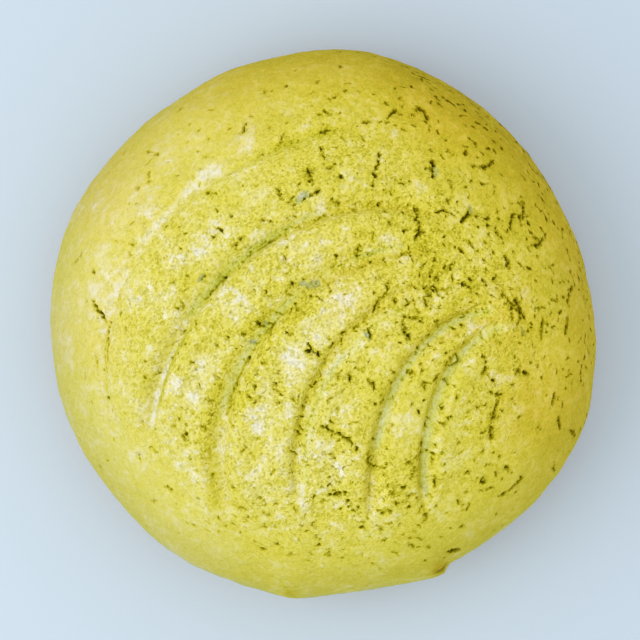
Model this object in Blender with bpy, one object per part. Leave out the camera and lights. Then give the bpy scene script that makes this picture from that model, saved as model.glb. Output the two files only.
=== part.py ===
"""Matcha concha: a round sweet bun under a stamped and crackled matcha sugar crust.

The origin is the middle of the flat underside and +Z is up. The nested arcs bulge to
-X and +Y, and their open side faces +X and -Y. All lengths below are millimetres;
meshes are written in metres.
"""
import math

import bmesh
import bpy
import numpy as np
from mathutils import Vector, noise

MM = 0.001

# Whole roll, crust included
MEAN_RADIUS = 55.0
HEIGHT = 50.0
WAIST = 14.0            # height of the widest level
BASE_SHARE = 0.86       # radius of the flat underside, as a share of the widest radius
DOME_POWER = 2.2        # 2 would be an ellipse; more is fuller at the shoulder
SIDE_POWER = 2.0
LEAN = (-2.5, -1.5)     # how far the top sits off the middle of the base
OUTLINE_STEPS = 1441    # places on the outline that its box is measured from
LIFT_ROUNDS = 8         # rounds in which a point in plan is lifted to the leaning dome
NORMAL_STEP = 0.004     # step for the face's slope, on the profile and around it
POLE_MARGIN = 0.02      # on the profile, where the slope is taken a little off the pole

# Lobes and flats of the outline: angle in degrees, amount, half width in degrees
LOBES = (
    (28, -1.1, 22),
    (82, 1.1, 13),
    (132, -0.6, 14),
    (160, 0.7, 24),
    (-25, 1.8, 19),
    (-80, -0.5, 8),
    (-97, 0.9, 5),
    (-121, 0.5, 10),
)

# Torn place on the front right rim, where the crust steps out on one side
TEAR_ANGLE = -62.5
TEAR_STEP = 1.2
TEAR_REACH = 9.0        # degrees over which the step dies away
TEAR_RAMP = 1.5         # degrees over which it rises
TEAR_SPREAD = 0.25      # on the profile, above and below the waist

# Sugar crust
CRUST_THICKNESS = 3.0
EDGE_THICKNESS = 1.5
CRUST_EDGE = 1.18       # where it ends on the profile, a little under the widest level
EDGE_WAVE = 0.035
EDGE_SWINGS = ((3, 0.6, 1.0), (7, 2.1, 0.7), (13, 0.0, 0.4))  # waves around, start, share
EDGE_ROUNDING = 0.12
THINNING_FROM = 0.7     # where on the profile the crust begins to thin towards its edge
SUGAR_COLOUR = (0.60, 0.55, 0.10)

# Bread
BREAD_COLOUR = (0.52, 0.27, 0.08)
BUN_GAP = 0.35
BUN_BULGE = 0.5         # how far the bare bread stays behind the crust's face
BUN_BULGE_SPAN = 0.16
BASE_FROM = 1.6         # where on the profile the bread begins to reach its full radius

# Stamped arcs, each a quarter oval: its topmost point, its leftmost point, the angles
# where it starts and ends, its half width, its depth and its fullness (2 is an ellipse)
GROOVES = (
    ((10.8, 38.6), (-43.4, -8.0), 97, 205, 1.25, 0.7, 1.86),
    ((10.8, 22.9), (-34.0, -23.0), 62, 181, 1.45, 1.6, 1.84),
    ((20.4, 14.6), (-20.3, -25.6), 74, 200, 1.35, 1.5, 1.88),
    ((30.0, 9.6), (-5.9, -28.0), 92, 192, 1.25, 1.3, 2.0),
    ((34.5, 3.6), (8.7, -31.5), 86, 185, 1.15, 1.5, 2.0),
    ((37.4, 0.6), (18.7, -28.5), 94, 197, 1.05, 1.4, 2.0),
)
GROOVE_STEPS = 36
GROOVE_FADE = 7.0       # length over which a groove dies away at each end
PILLOW_SHARE = 0.37     # swell of the crust beside a groove, as a share of its depth
PILLOW_AWAY = 3.6       # distance from the groove at which that swell is highest
PILLOW_SPREAD = 2.2

# Larger cracks and pits in the crust: half width, depth, then the points of the crack
CRACK_STEEPNESS = 4
CRACKS = (
    (0.75, 1.6, (21.3, 31.9), (21.0, 28.5)),
    (0.65, 1.5, (-3.9, -5.2), (-2.2, -5.0), (-1.2, -6.1)),
    (0.6, 1.3, (-2.4, -4.8), (-3.2, -3.6)),
    (0.65, 1.2, (-0.9, 25.8), (-2.8, 24.6), (-4.7, 23.4)),
    (0.8, 0.9, (-5.1, 8.0), (-1.2, 7.8)),
    (0.65, 1.4, (37.4, 5.1), (38.0, 2.9), (39.2, 1.2)),
    (0.65, 1.4, (47.9, 1.2), (47.2, -2.0)),
    (0.6, 1.2, (48.9, 7.5), (47.7, 4.0)),
    (0.7, 1.6, (34.4, -34.1), (36.6, -32.8), (39.2, -30.2)),
    (0.65, 1.0, (28.7, 22.5), (26.6, 19.8)),
    (0.6, 1.2, (35.3, 13.6), (36.1, 10.5)),
    (0.5, 1.0, (27.6, 16.4), (29.1, 14.7)),
    (0.5, 1.0, (18.4, 42.9), (19.8, 41.3), (20.3, 39.0)),
    (0.55, 1.2, (15.0, -1.3), (16.4, -3.1)),
    (0.55, 1.2, (-0.9, -19.3), (2.6, -20.9), (4.7, -21.9), (6.2, -24.4)),
    (0.6, 1.2, (8.3, -0.6), (8.9, -2.9)),
    (0.5, 0.9, (10.9, 33.7), (9.6, 29.3), (9.1, 25.8)),
    (0.5, 0.9, (-3.4, 30.1), (-2.4, 26.5)),
    (0.6, 1.2, (43.8, 17.8), (41.5, 15.1)),
    (0.5, 1.0, (28.7, 30.9), (31.3, 30.6), (33.2, 32.1)),
    (0.5, 1.0, (38.8, 25.4), (39.2, 21.6)),
    (0.65, 1.2, (45.3, -13.6), (44.9, -15.9)),
    (0.7, 1.3, (46.1, -18.4), (46.6, -20.6)),
    (0.55, 1.0, (51.0, -8.2), (50.8, -10.3)),
    (0.55, 1.0, (46.0, -27.5), (45.8, -29.9)),
    (0.5, 1.0, (21.7, -35.1), (19.0, -37.4)),
    (0.5, 1.0, (30.8, -6.0), (31.4, -9.7), (33.2, -11.6)),
    (0.5, 1.1, (33.6, -13.2), (33.4, -15.9), (32.3, -19.6), (32.4, -23.3)),
    (0.55, 1.1, (-21.1, 18.7), (-19.3, 18.1)),
    (0.8, 1.4, (25.1, -43.8), (24.5, -46.7)),
)

# Uneven swell of the crust: wavelength and amount
LUMPS = ((17.0, 0.5), (6.5, 0.22))
LUMP_OFFSET = Vector((3.1, 7.4, 1.9))

# Meshes
CRUST_SUBDIVISIONS = 8  # of the icosphere that the crust is shaped from
CRUST_SHARE = 0.68      # share of the sphere, from its top, that becomes the outer face
CRUST_TRIANGLES = 9400
BUN_SEGMENTS = 44
BUN_RINGS = 26
BUN_EDGE_ROW = 0.50     # share of the rings, from the top, that lie under the crust
BUN_BULGE_ROW = 0.58
BUN_CORNER_ROW = 0.82


def outline(theta):
    """Widest radius in the direction theta, without the torn step."""
    degrees = np.degrees(theta)
    radius = np.full_like(degrees, MEAN_RADIUS)
    for at, amount, width in LOBES:
        away = (degrees - at + 180) % 360 - 180
        radius += amount * np.exp(-(away / width) ** 2)
    return radius


def outline_middle():
    """Middle of the outline's box, which is put on the vertical axis."""
    theta = np.linspace(-math.pi, math.pi, OUTLINE_STEPS)
    x = outline(theta) * np.cos(theta)
    y = outline(theta) * np.sin(theta)
    return (x.min() + x.max()) / 2, (y.min() + y.max()) / 2


def roll_face(a, theta):
    """Point of the smooth outer face: a runs 0 at the top, 1 at the waist, 2 at the base's rim."""
    widest = outline(theta)
    base = widest * BASE_SHARE
    up = np.clip(a, 0, 1) * math.pi / 2
    down = np.clip(a - 1, 0, 1) * math.pi / 2
    across = np.clip(a - 2, 0, 1)
    dome_radius = widest * np.sin(up) ** (2 / DOME_POWER)
    dome_z = WAIST + (HEIGHT - WAIST) * np.clip(np.cos(up), 0, 1) ** (2 / DOME_POWER)
    side_radius = base + (widest - base) * np.clip(np.cos(down), 0, 1) ** (2 / SIDE_POWER)
    side_z = WAIST * (1 - np.sin(down) ** (2 / SIDE_POWER))
    radius = np.where(a <= 1, dome_radius, side_radius * (1 - across))
    z = np.where(a <= 1, dome_z, side_z)
    lean = np.clip(z / HEIGHT, 0, 1) ** 2
    x = radius * np.cos(theta) + LEAN[0] * lean
    y = radius * np.sin(theta) + LEAN[1] * lean
    return np.stack((x, y, z), axis=1)


def roll_normal(a, theta):
    """Outward unit normal of the smooth face, from small steps along and around it."""
    a = np.clip(a, POLE_MARGIN, 2 - POLE_MARGIN)
    along = roll_face(a + NORMAL_STEP, theta) - roll_face(a - NORMAL_STEP, theta)
    around = roll_face(a, theta + NORMAL_STEP) - roll_face(a, theta - NORMAL_STEP)
    normal = np.cross(along, around)
    return normal / np.linalg.norm(normal, axis=1, keepdims=True)


def on_dome(points):
    """Points given in plan, lifted to the dome's outer face."""
    plan = np.array(points, float)
    z = np.full(len(plan), HEIGHT)
    for _ in range(LIFT_ROUNDS):
        lean = (z / HEIGHT) ** 2
        x = plan[:, 0] - LEAN[0] * lean
        y = plan[:, 1] - LEAN[1] * lean
        share = np.clip(np.hypot(x, y) / outline(np.arctan2(y, x)), 0, 1)
        z = WAIST + (HEIGHT - WAIST) * (1 - share ** DOME_POWER) ** (1 / DOME_POWER)
    return np.column_stack((plan, z))


def distance_to(points, line):
    """Distance of each point to a line of several pieces, and how far along it that is."""
    nearest = np.full(len(points), np.inf)
    travelled = np.zeros(len(points))
    start = 0.0
    for first, second in zip(line[:-1], line[1:]):
        piece = second - first
        length = np.linalg.norm(piece)
        share = np.clip((points - first) @ piece / length ** 2, 0, 1)
        away = np.linalg.norm(points - first - share[:, None] * piece, axis=1)
        closer = away < nearest
        nearest = np.where(closer, away, nearest)
        travelled = np.where(closer, start + share * length, travelled)
        start += length
    return nearest, travelled, start


def groove_line(top, left, begin, end, fullness):
    """Plan of one stamped arc, a stretch of an oval that is round at its corner."""
    angle = np.radians(np.linspace(begin, end, GROOVE_STEPS))
    cosine = np.cos(angle)
    sine = np.sin(angle)
    x = top[0] + (top[0] - left[0]) * np.sign(cosine) * np.abs(cosine) ** (2 / fullness)
    y = left[1] + (top[1] - left[1]) * np.sign(sine) * np.abs(sine) ** (2 / fullness)
    return on_dome(np.column_stack((x, y)))


def groove_relief(points):
    """Stamped arcs and the pillows that they leave between them."""
    cut = np.zeros(len(points))
    swell = np.zeros(len(points))
    for top, left, begin, end, width, depth, fullness in GROOVES:
        away, along, length = distance_to(points, groove_line(top, left, begin, end, fullness))
        fade = np.clip(np.minimum(along, length - along) / GROOVE_FADE, 0, 1)
        fade = fade * fade * (3 - 2 * fade)
        cut = np.maximum(cut, depth * fade * np.exp(-(away / width) ** 2))
        rise = np.exp(-((away - PILLOW_AWAY) / PILLOW_SPREAD) ** 2)
        swell = np.maximum(swell, PILLOW_SHARE * depth * fade * rise)
    return swell - cut - np.where(cut > 0, swell * cut / 2, 0)


def crack_relief(points):
    """Larger cracks and pits."""
    cut = np.zeros(len(points))
    for width, depth, *line in CRACKS:
        away, _, _ = distance_to(points, on_dome(line))
        cut = np.maximum(cut, depth * np.exp(-(away / width) ** CRACK_STEEPNESS))
    return -cut


def tear_relief(a, theta):
    """Step outward beside the torn place, strongest at the waist."""
    away = (np.degrees(theta) - TEAR_ANGLE + 180) % 360 - 180
    rise = np.clip(-away / TEAR_RAMP, 0, 1) * np.exp(-(away / TEAR_REACH) ** 2)
    near_waist = np.exp(-((a - 1) / TEAR_SPREAD) ** 2)
    return TEAR_STEP * rise * near_waist


def lump_relief(points):
    """Soft unevenness of the baked crust."""
    rise = np.zeros(len(points))
    for wavelength, amount in LUMPS:
        rise += [amount * noise.noise(Vector(p) / wavelength + LUMP_OFFSET) for p in points]
    return rise


def crust_edge(theta):
    """Where the crust ends on the profile: a low wave of three unlike swings."""
    swing = sum(share * np.sin(waves * theta + start) for waves, start, share in EDGE_SWINGS)
    return CRUST_EDGE + EDGE_WAVE * swing


def crust_thickness(a, theta):
    share = np.clip((a - THINNING_FROM) / (crust_edge(theta) - THINNING_FROM), 0, 1)
    return CRUST_THICKNESS + (EDGE_THICKNESS - CRUST_THICKNESS) * share


def shape_crust(directions):
    """Sphere directions turned into the crust: the upper ones are its outer face."""
    theta = np.arctan2(directions[:, 1], directions[:, 0])
    polar = np.arccos(np.clip(directions[:, 2], -1, 1)) / math.pi
    outer = polar <= CRUST_SHARE
    share = np.where(outer, polar / CRUST_SHARE, (1 - polar) / (1 - CRUST_SHARE))
    edge = crust_edge(theta)
    a = edge * share
    to_edge = np.clip((edge - a) / EDGE_ROUNDING, 0, 1)
    full = np.sqrt(1 - (1 - to_edge) ** 2)
    thickness = crust_thickness(a, theta)
    points = roll_face(a, theta)
    relief = groove_relief(points) + crack_relief(points) + lump_relief(points)
    relief += tear_relief(a, theta)
    outer_offset = relief * full - thickness / 2 * (1 - full)
    inner_offset = -thickness + thickness / 2 * (1 - full)
    offset = np.where(outer, outer_offset, inner_offset)
    return points + roll_normal(a, theta) * offset[:, None]


def shape_bun(directions):
    """Sphere directions turned into the bread, which swells out below the crust's edge."""
    theta = np.arctan2(directions[:, 1], directions[:, 0])
    row = np.arccos(np.clip(directions[:, 2], -1, 1)) / math.pi
    edge = crust_edge(theta)
    rows = (0, BUN_EDGE_ROW, BUN_BULGE_ROW, BUN_CORNER_ROW, 1)
    a = np.array([np.interp(r, rows, (0, e, e + BUN_BULGE_SPAN, 2, 3)) for r, e in zip(row, edge)])
    below = np.clip((a - edge) / BUN_BULGE_SPAN, 0, 1)
    under_crust = crust_thickness(a, theta) + BUN_GAP
    inset = under_crust + (BUN_BULGE - under_crust) * below
    points = roll_face(a, theta)
    moved = points - roll_normal(a, theta) * inset[:, None]
    at_base = np.clip((a - BASE_FROM) / (2 - BASE_FROM), 0, 1)[:, None]
    moved = moved * (1 - at_base) + points * at_base
    moved[:, 2] = np.where(a >= 2, 0, moved[:, 2])
    return moved


def plain_material(name, colour, roughness):
    material = bpy.data.materials.new(name)
    material.use_nodes = True
    shader = material.node_tree.nodes["Principled BSDF"]
    shader.inputs["Base Color"].default_value = (*colour, 1)
    shader.inputs["Roughness"].default_value = roughness
    shader.inputs["Metallic"].default_value = 0
    material.diffuse_color = (*colour, 1)
    return material


def add_shaped(name, bm, shape, material, collection):
    """Object from a unit sphere whose vertices are moved by the given shape."""
    bm.verts.ensure_lookup_table()
    directions = np.array([v.co.normalized()[:] for v in bm.verts])
    middle_x, middle_y = outline_middle()
    placed = (shape(directions) - (middle_x, middle_y, 0)) * MM
    for vertex, place in zip(bm.verts, placed):
        vertex.co = place
    mesh = bpy.data.meshes.new(name)
    bm.to_mesh(mesh)
    bm.free()
    mesh.materials.append(material)
    mesh.shade_smooth()
    obj = bpy.data.objects.new(name, mesh)
    collection.objects.link(obj)
    return obj


def add_bun(collection):
    bm = bmesh.new()
    bmesh.ops.create_uvsphere(bm, u_segments=BUN_SEGMENTS, v_segments=BUN_RINGS, radius=1)
    bread = plain_material("bread", BREAD_COLOUR, 0.7)
    return add_shaped("bun", bm, shape_bun, bread, collection)


def add_crust(collection):
    bm = bmesh.new()
    bmesh.ops.create_icosphere(bm, subdivisions=CRUST_SUBDIVISIONS, radius=1)
    sugar = plain_material("matcha_sugar", SUGAR_COLOUR, 0.75)
    crust = add_shaped("topping", bm, shape_crust, sugar, collection)
    fewer = crust.modifiers.new("fewer faces", "DECIMATE")
    fewer.ratio = CRUST_TRIANGLES / len(crust.data.polygons)
    return crust


def main():
    for obj in list(bpy.data.objects):
        bpy.data.objects.remove(obj, do_unlink=True)
    collection = bpy.data.collections.new("matcha_concha")
    bpy.context.scene.collection.children.link(collection)
    add_bun(collection)
    add_crust(collection)


main()
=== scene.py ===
"""Looks of the matcha concha: baked sugar crust with its stamped arcs, cracks and dust, and the bread below.

Lengths are millimetres in the shape functions; meshes are written in metres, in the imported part's frame.
"""
import math

import bmesh
import bpy
import numpy as np
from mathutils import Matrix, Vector, noise


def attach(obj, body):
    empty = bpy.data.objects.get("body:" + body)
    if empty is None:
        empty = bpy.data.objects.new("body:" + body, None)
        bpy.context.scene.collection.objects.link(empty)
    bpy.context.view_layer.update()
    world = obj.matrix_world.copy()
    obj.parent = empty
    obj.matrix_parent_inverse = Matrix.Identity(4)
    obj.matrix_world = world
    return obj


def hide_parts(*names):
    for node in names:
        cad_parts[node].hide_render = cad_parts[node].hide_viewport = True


MM = 0.001

# Whole roll, crust included, as in the part
MEAN_RADIUS = 55.0
HEIGHT = 50.0
WAIST = 14.0
BASE_SHARE = 0.86
DOME_POWER = 2.2
SIDE_POWER = 2.0
LEAN = (-2.5, -1.5)
LOBES = (
    (28, -1.1, 22),
    (82, 1.1, 13),
    (132, -0.6, 14),
    (160, 0.7, 24),
    (-25, 1.8, 19),
    (-80, -0.5, 8),
    (-97, 0.9, 5),
    (-121, 0.5, 10),
)
TEAR_ANGLE = -62.5
TEAR_STEP = 1.2
TEAR_REACH = 9.0
TEAR_RAMP = 1.5

# Sugar crust
CRUST_THICKNESS = 3.0
EDGE_THICKNESS = 1.5
CRUST_EDGE = 1.18
EDGE_WAVE = 0.035
EDGE_ROUNDING = 0.12
BUN_GAP = 0.35
BUN_BULGE = 0.5
BUN_BULGE_SPAN = 0.16

# Stamped arcs, at the foot of their steep wall: topmost point, leftmost point, start and end angle,
# reach of the sloping floor, depth, fullness, and how long the arc takes to reach its depth
GROOVES = (
    ((10.8, 38.6), (-43.4, -8.0), 97, 205, 1.9, 0.7, 1.86, 12),
    ((10.8, 22.9), (-34.0, -23.0), 62, 181, 2.0, 1.6, 1.84, 34),
    ((20.4, 14.6), (-20.3, -25.6), 74, 200, 2.7, 1.5, 1.88, 28),
    ((30.0, 9.6), (-5.9, -28.0), 92, 192, 2.3, 1.3, 2.0, 24),
    ((34.5, 3.6), (8.7, -31.5), 86, 192, 1.9, 1.5, 2.0, 13),
    ((37.4, 0.6), (18.7, -28.5), 94, 197, 1.9, 1.4, 2.0, 13),
)
GROOVE_STEPS = 36
GROOVE_FADE = 7.0
WALL_REACHES = (1.0, 1.0, 1.0, 0.8, 0.7, 0.7)
PILLOW_HEIGHT = 0.55
PILLOW_AWAY = 3.6
PILLOW_SPREAD = 2.2

# Stretches of colour along the arcs: arc, from and to along it from its upper right end, place across it,
# more than 0 towards the wall, half width, change of sugar, and tint from golden, -1, to green, 1
ARC_STRETCHES = (
    (0, 3, 25, -2.2, 0.6, 0.07, 0.0),
    (0, 3, 25, 0.0, 0.9, -0.14, 0.2),
    (0, 25, 35, -1.4, 1.0, 0.18, 0.1),
    (0, 38, 48, -1.1, 0.7, 0.16, 0.1),
    (0, 28, 47, 0.9, 0.5, -0.10, 0.0),
    (0, 55, 80, -1.0, 0.6, 0.08, 0.0),
    (1, 4, 40, 0.0, 0.8, -0.08, -0.1),
    (1, 32, 39, -0.9, 0.5, 0.12, 0.9),
    (1, 39, 66, -0.6, 0.9, -0.09, 1.0),
    (1, 68, 89, -0.1, 0.45, 0.30, 0.4),
    (1, 66, 86, 1.0, 0.6, -0.20, 0.5),
    (1, 79, 88, 1.8, 0.5, 0.08, 0.1),
    (2, 12, 34, 0.5, 0.9, -0.09, -0.1),
    (2, 12, 34, -1.4, 0.6, -0.04, 0.5),
    (2, 18, 25, -1.0, 0.7, 0.10, 0.6),
    (2, 38, 66, -0.9, 0.9, 0.06, 0.8),
    (2, 38, 64, 2.1, 1.5, -0.15, -0.1),
    (2, 43, 85, -2.6, 1.1, -0.16, -0.05),
    (2, 66, 76, -0.2, 0.5, 0.10, 0.1),
    (2, 79, 85, -0.2, 0.6, 0.10, 0.1),
    (3, 16, 32, -2.5, 0.8, -0.05, 0.6),
    (3, 32, 62, -2.1, 0.8, 0.02, 0.6),
    (3, 32, 40, -1.9, 0.4, 0.12, 0.2),
    (3, 16, 31, 0.0, 1.0, -0.05, -0.1),
    (3, 30, 58, 0.3, 1.3, -0.14, -0.15),
    (3, 60, 64, -0.9, 0.7, 0.24, 0.2),
    (4, 4, 44, -0.8, 0.8, 0.14, 1.1),
    (4, 10, 54, 0.8, 0.8, -0.10, -0.2),
    (4, 13, 26, -2.1, 0.8, -0.07, -0.3),
    (5, 1, 44, -0.8, 0.8, 0.15, 1.0),
    (5, 8, 36, -1.9, 0.6, -0.04, 0.4),
    (5, 8, 48, 0.5, 0.8, -0.12, -0.2),
    (5, 10, 36, -2.6, 0.5, 0.05, 0.0),
    (5, 11, 14, -2.9, 0.7, 0.24, 0.0),
)
STRETCH_FADE = 3.0

# Painted shade in the crease at the foot of the walls, which is also cut there: arc, from and to along it, strength
CREASES = (
    (0, 62, 80, 0.2),
    (1, 41, 50, 0.9),
    (1, 54, 62, 0.75),
    (2, 43, 49, 0.8),
    (2, 52, 64, 0.8),
    (3, 31, 39, 0.5),
    (3, 43, 58, 0.4),
    (4, 8, 54, 0.5),
    (5, 8, 49, 0.5),
)

# Larger cracks and pits: half width, depth, points in plan
CRACKS = (
    (0.75, 1.6, (21.3, 31.9), (21.0, 28.5)),
    (0.65, 1.5, (-3.9, -5.2), (-2.2, -5.0), (-1.2, -6.1)),
    (0.6, 1.3, (-2.4, -4.8), (-3.2, -3.6)),
    (0.65, 1.2, (-0.9, 25.8), (-2.8, 24.6), (-4.7, 23.4)),
    (0.65, 1.4, (37.4, 5.1), (38.0, 2.9), (39.2, 1.2)),
    (0.65, 1.4, (47.9, 1.2), (47.2, -2.0)),
    (0.6, 1.2, (48.9, 7.5), (47.7, 4.0)),
    (1.1, 1.6, (34.4, -34.1), (36.6, -32.8), (39.2, -30.2)),
    (0.65, 1.0, (28.7, 22.5), (26.6, 19.8)),
    (0.6, 1.2, (35.3, 13.6), (36.1, 10.5)),
    (0.5, 1.0, (27.6, 16.4), (29.1, 14.7)),
    (0.5, 1.0, (18.4, 42.9), (19.8, 41.3), (20.3, 39.0)),
    (0.55, 1.2, (15.0, -1.3), (16.4, -3.1)),
    (0.40, 1.0, (-0.9, -19.3), (2.6, -20.9), (4.7, -21.9), (6.2, -24.4)),
    (0.6, 1.2, (8.3, -0.6), (8.9, -2.9)),
    (0.5, 0.9, (10.9, 33.7), (9.6, 29.3), (9.1, 25.8)),
    (0.5, 0.9, (-3.4, 30.1), (-2.4, 26.5)),
    (0.6, 1.2, (43.8, 17.8), (41.5, 15.1)),
    (0.42, 0.9, (28.7, 30.9), (31.3, 30.6), (33.2, 32.1)),
    (0.5, 1.0, (38.8, 25.4), (39.2, 21.6)),
    (0.65, 1.2, (45.3, -13.6), (44.9, -15.9)),
    (0.7, 1.3, (46.1, -18.4), (46.6, -20.6)),
    (0.55, 1.0, (51.0, -8.2), (50.8, -10.3)),
    (0.55, 1.0, (46.0, -27.5), (45.8, -29.9)),
    (0.5, 1.0, (21.7, -35.1), (19.0, -37.4)),
    (0.5, 1.0, (30.8, -6.0), (31.4, -9.7), (33.2, -11.6)),
    (0.38, 0.9, (33.6, -13.2), (33.4, -15.9), (32.3, -19.6), (32.4, -23.3)),
    (0.55, 1.1, (-21.1, 18.7), (-19.3, 18.1)),
    (1.4, 1.5, (24.6, -45.3), (27.0, -44.9)),
)

# Smaller cracks: half width, points in plan
FINE_CRACKS = (
    (0.40, (-10.6, 5.4), (-10.0, 5.0)),
    (0.28, (12.0, 8.0), (11.8, 5.9), (10.2, 4.8), (9.5, 3.4), (9.3, 1.5)),
    (0.28, (0.9, -4.4), (1.8, -3.4)),
    (0.26, (7.9, -10.3), (9.7, -12.1)),
    (0.28, (21.5, 21.8), (23.3, 22.0), (25.3, 21.3)),
    (0.28, (17.6, 23.0), (18.0, 20.2), (18.4, 18.3), (17.4, 16.3)),
    (0.42, (26.0, 14.7), (27.1, 13.7)),
    (0.40, (33.2, 18.1), (33.9, 17.9)),
    (0.32, (37.1, 21.6), (36.5, 20.0), (36.4, 18.4)),
    (0.50, (30.9, 12.8), (31.4, 12.2)),
    (0.18, (24.6, 11.6), (24.7, 8.3)),
    (0.32, (25.5, 7.9), (28.3, 7.1)),
    (0.28, (20.5, 7.1), (21.2, 7.1), (21.8, 6.1)),
    (0.30, (19.5, 4.6), (19.5, 3.3)),
    (0.36, (16.4, 4.2), (15.4, 3.3)),
    (0.28, (14.8, 0.4), (15.6, -1.1)),
    (0.34, (34.8, 6.6), (34.8, 4.7)),
    (0.32, (30.5, 8.9), (30.8, 7.7)),
    (0.34, (32.6, 8.9), (33.1, 8.6)),
    (0.30, (26.3, 0.2), (27.1, -0.4)),
    (0.34, (13.9, -3.3), (14.5, -3.7)),
    (0.30, (16.4, -15.5), (17.2, -15.2)),
    (0.36, (21.4, -10.9), (21.9, -11.5)),
    (0.40, (23.6, -10.6), (23.9, -11.7)),
    (0.32, (23.4, -17.9), (23.9, -18.3)),
    (0.24, (22.8, -15.2), (22.4, -16.9)),
    (0.28, (17.9, -5.4), (17.5, -6.1)),
    (0.28, (-7.0, 23.2), (-5.7, 24.4)),
    (0.32, (-22.9, 9.8), (-24.1, 8.1)),
    (0.24, (-8.3, 13.6), (-7.0, 12.1), (-6.4, 10.7)),
    (0.32, (-21.4, -10.0), (-20.6, -10.0)),
    (0.28, (-27.7, -21.6), (-26.3, -22.4)),
    (0.32, (12.4, 40.2), (14.0, 42.3)),
    (0.36, (7.3, 39.5), (8.9, 39.5)),
    (0.32, (-15.5, 39.4), (-15.9, 37.0)),
    (0.26, (-35.1, 34.4), (-32.7, 33.2)),
    (0.28, (-34.4, 29.8), (-34.3, 27.2)),
    (0.40, (-49.1, 13.0), (-49.5, 11.9)),
    (0.40, (-45.3, 11.0), (-45.3, 9.6)),
    (0.50, (-45.5, 4.7), (-44.4, 2.5), (-42.9, 0.4)),
    (0.34, (-42.7, -1.2), (-42.5, -4.7), (-42.9, -9.5)),
    (0.28, (-0.9, 34.2), (-0.1, 31.7)),
    (0.28, (-9.5, 26.4), (-8.0, 23.8)),
    (0.40, (-17.6, 14.8), (-15.1, 16.9)),
    (0.34, (42.7, 1.2), (42.7, -1.4)),
    (0.40, (37.0, -8.9), (40.1, -9.9)),
    (0.32, (30.4, -30.9), (31.8, -30.9)),
    (0.30, (35.3, -27.6), (36.0, -29.0)),
    (0.34, (25.9, -34.4), (26.2, -35.1)),
    (0.34, (21.2, -29.2), (21.3, -31.6)),
    (0.30, (17.4, -33.2), (18.1, -33.6)),
    (0.34, (-12.0, -39.1), (-11.2, -39.4)),
    (0.34, (-9.7, -42.7), (-8.1, -43.7)),
    (0.28, (-20.7, -37.4), (-20.2, -37.9)),
    (0.28, (-31.1, -31.6), (-29.7, -32.4)),
    (0.34, (0.7, -44.0), (0.9, -45.6)),
    (0.38, (34.0, -13.8), (34.6, -13.4)),
    (0.34, (36.4, -11.8), (37.0, -11.6)),
    (0.40, (0.0, -32.2), (1.6, -33.0), (3.4, -32.4)),
    (0.22, (8.0, -24.6), (8.6, -27.4), (11.2, -27.8), (11.9, -26.4)),
    (0.34, (16.3, -42.8), (17.6, -44.0)),
    (0.30, (10.4, -42.4), (12.2, -42.2)),
    (0.30, (-1.8, 5.5), (-1.1, 5.3), (-0.7, 4.6)),
    (0.25, (3.0, -1.9), (3.9, -1.3)),
    (0.35, (7.9, -4.4), (8.5, -4.6)),
    (0.25, (4.5, -9.6), (4.9, -11.1)),
    (0.30, (-8.7, -13.0), (-8.3, -13.6)),
    (0.30, (-8.9, -14.7), (-8.5, -15.1)),
    (0.25, (-9.5, -11.1), (-9.3, -12.2), (-9.1, -13.0)),
    (0.35, (9.5, -15.1), (9.9, -15.5)),
    (0.30, (18.3, -11.3), (18.9, -11.9)),
    (0.30, (24.5, -8.1), (25.5, -7.3), (26.5, -6.9)),
    (0.25, (26.7, -1.9), (27.4, -1.3)),
    (0.25, (38.4, 21.0), (39.8, 21.1)),
    (0.35, (27.7, 9.1), (28.5, 8.5)),
    (0.30, (28.9, 9.9), (29.7, 10.4)),
    (0.25, (16.2, 13.4), (16.6, 12.7), (17.0, 12.1)),
    (0.25, (18.3, 10.8), (18.3, 9.0)),
    (0.30, (18.9, 7.3), (19.7, 6.5)),
    (0.35, (20.6, 6.9), (21.4, 6.1), (22.2, 5.8)),
    (0.30, (28.2, 2.7), (28.2, 2.3)),
    (0.30, (29.8, 2.7), (29.8, 2.3)),
    (0.30, (39.7, 15.3), (40.3, 14.3)),
    (0.35, (41.1, 15.7), (41.7, 14.9)),
    (0.35, (40.2, 18.5), (41.2, 17.1)),
    (0.35, (38.3, 11.7), (38.9, 11.1)),
    (0.25, (-10.5, 20.1), (-10.1, 19.6)),
    (0.30, (-12.4, 20.0), (-11.2, 20.0)),
    (0.30, (-27.6, 4.4), (-27.2, 3.7), (-27.4, 2.7)),
    (0.40, (-12.9, 0.4), (-12.1, -0.2), (-11.6, -0.6)),
    (0.25, (-1.8, 12.6), (-0.9, 13.0)),
    (0.25, (-16.4, 3.8), (-15.8, 3.4)),
    (0.30, (-18.9, -2.1), (-18.1, -2.7)),
    (0.25, (-15.8, -1.7), (-15.2, -2.1)),
    (0.25, (-20.8, -3.6), (-20.2, -4.6)),
    (0.25, (-25.8, -7.1), (-25.0, -7.5)),
    (0.25, (-33.5, -9.7), (-31.9, -9.6)),
    (0.30, (-23.2, -19.4), (-23.2, -20.8)),
    (0.25, (-23.1, -14.6), (-22.6, -14.6)),
    (0.25, (-14.5, -13.6), (-13.9, -14.2)),
    (0.25, (-15.4, -17.4), (-14.9, -17.8)),
    (0.30, (50.8, -11.1), (51.6, -12.2)),
    (0.35, (48.7, -21.1), (50.2, -22.3)),
    (0.50, (-6.4, 8.2), (-5.3, 7.6)),
    (0.40, (-5.9, 22.7), (-5.1, 23.4)),
)
FINE_DEPTH = 0.9

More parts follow.
